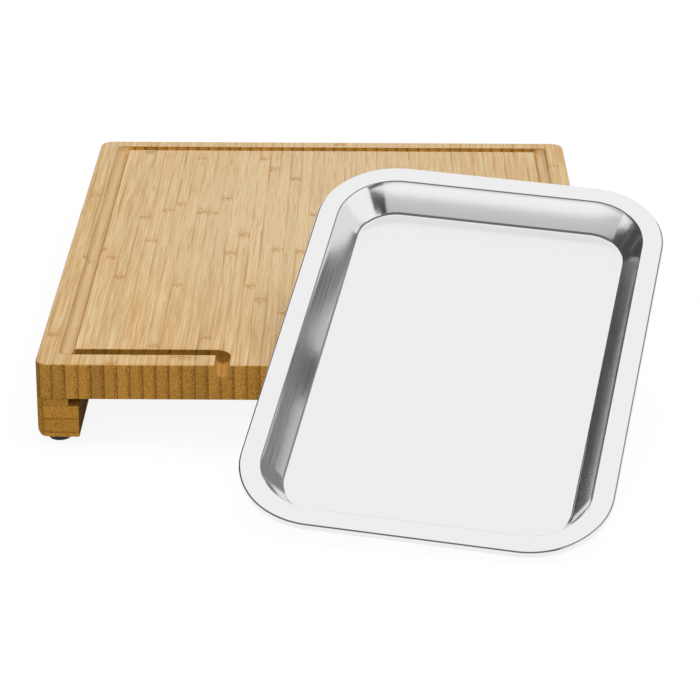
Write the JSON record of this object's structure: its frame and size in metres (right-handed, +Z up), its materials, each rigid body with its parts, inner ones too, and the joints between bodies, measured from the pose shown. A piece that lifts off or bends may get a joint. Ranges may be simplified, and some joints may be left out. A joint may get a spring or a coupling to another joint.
{
  "type": "cutting board with drawer trays",
  "caption": "Bamboo cutting board on laminated side rails whose slots carry pull-out steel trays; a juice groove drains over the front edge into a tray.",
  "frame": {"origin": "plan centre of the board, at the level of the table that its feet stand on", "axes": "+Y from the front of the board to its back, along the slots of the rails; +Z up through the cutting surface; +X to the right"},
  "size_m": [0.3315, 0.531, 0.1165],
  "materials": {
    "panel_bamboo": "fine-grained bamboo, oiled, satin",
    "rail_bamboo": "laminated bamboo, oiled, satin",
    "tray_steel": "stainless sheet, fine satin",
    "screw_steel": "plain steel",
    "rubber": "matt black rubber"
  },
  "bodies": {
    "board": {"panel_strip_01": "panel_bamboo", "panel_strip_02": "panel_bamboo", "panel_strip_03": "panel_bamboo", "panel_strip_04": "panel_bamboo", "panel_strip_05": "panel_bamboo", "panel_strip_06": "panel_bamboo", "panel_strip_07": "panel_bamboo", "panel_strip_08": "panel_bamboo", "panel_strip_09": "panel_bamboo", "panel_strip_10": "panel_bamboo", "panel_strip_11": "panel_bamboo", "panel_strip_12": "panel_bamboo", "panel_strip_13": "panel_bamboo", "panel_strip_14": "panel_bamboo", "panel_strip_15": "panel_bamboo", "panel_strip_16": "panel_bamboo", "panel_strip_17": "panel_bamboo", "panel_strip_18": "panel_bamboo", "panel_strip_19": "panel_bamboo", "panel_strip_20": "panel_bamboo", "panel_strip_21": "panel_bamboo", "panel_strip_22": "panel_bamboo", "panel_strip_23": "panel_bamboo", "panel_strip_24": "panel_bamboo", "panel_strip_25": "panel_bamboo", "panel_strip_26": "panel_bamboo", "panel_strip_27": "panel_bamboo", "panel_strip_28": "panel_bamboo", "panel_strip_29": "panel_bamboo", "panel_strip_30": "panel_bamboo", "panel_strip_31": "panel_bamboo", "panel_strip_32": "panel_bamboo", "panel_strip_33": "panel_bamboo", "panel_strip_34": "panel_bamboo", "panel_strip_35": "panel_bamboo", "panel_strip_36": "panel_bamboo", "panel_strip_37": "panel_bamboo", "panel_strip_38": "panel_bamboo", "panel_strip_39": "panel_bamboo", "panel_strip_40": "panel_bamboo", "panel_strip_41": "panel_bamboo", "panel_strip_42": "panel_bamboo", "panel_strip_43": "panel_bamboo", "panel_strip_44": "panel_bamboo", "panel_strip_45": "panel_bamboo", "left_facing_strip": "rail_bamboo", "right_facing_strip": "rail_bamboo", "left_spacer_strip": "rail_bamboo", "right_spacer_strip": "rail_bamboo", "left_runner_strip": "rail_bamboo", "right_runner_strip": "rail_bamboo", "left_core_strip": "rail_bamboo", "right_core_strip": "rail_bamboo", "left_base_strip": "rail_bamboo", "right_base_strip": "rail_bamboo", "rubber_feet": "rubber", "foot_screws": "screw_steel"},
    "leaning_tray": {"leaning_tray": "tray_steel"},
    "docked_tray": {"docked_tray": "tray_steel"}
  },
  "joints": [
    {"name": "docked_tray_slide", "type": "slide", "parent": "board", "child": "docked_tray", "axis": [0, 1, 0], "range_m": [-0.195, 0.14]},
    {"name": "leaning_tray_lift", "type": "slide", "parent": "board", "child": "leaning_tray", "axis": [0, 0, 1], "range_m": [0, 0.08]}
  ]
}
